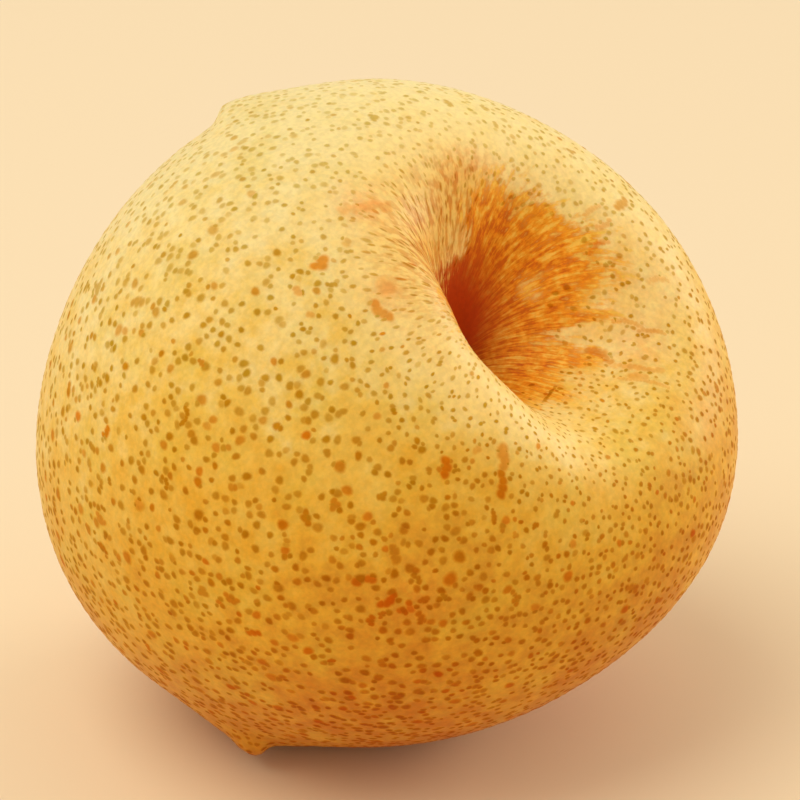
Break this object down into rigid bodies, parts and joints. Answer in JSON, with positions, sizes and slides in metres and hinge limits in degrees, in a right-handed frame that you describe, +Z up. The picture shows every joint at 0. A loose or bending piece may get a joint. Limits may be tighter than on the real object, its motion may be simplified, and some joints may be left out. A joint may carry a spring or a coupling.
{
  "type": "asian pear",
  "caption": "Round yellow pear lying tilted on a small flat spot, with a deep russet calyx basin, a woody stem stub and a dried calyx crown.",
  "frame": {"origin": "on the surface the pear rests on, under the centre of its bounding box", "axes": "+Z up from the resting surface; the calyx basin opens towards -Y and upwards, the stem points to +Y and downwards"},
  "size_m": [0.0818, 0.0844, 0.079],
  "materials": {
    "skin": "waxy satin skin with brown lenticels",
    "stem_wood": "rough bark",
    "dried_calyx": "dry and matt"
  },
  "bodies": {
    "root": {"fruit": "skin", "stem": "stem_wood", "calyx": "dried_calyx"}
  },
  "joints": []
}
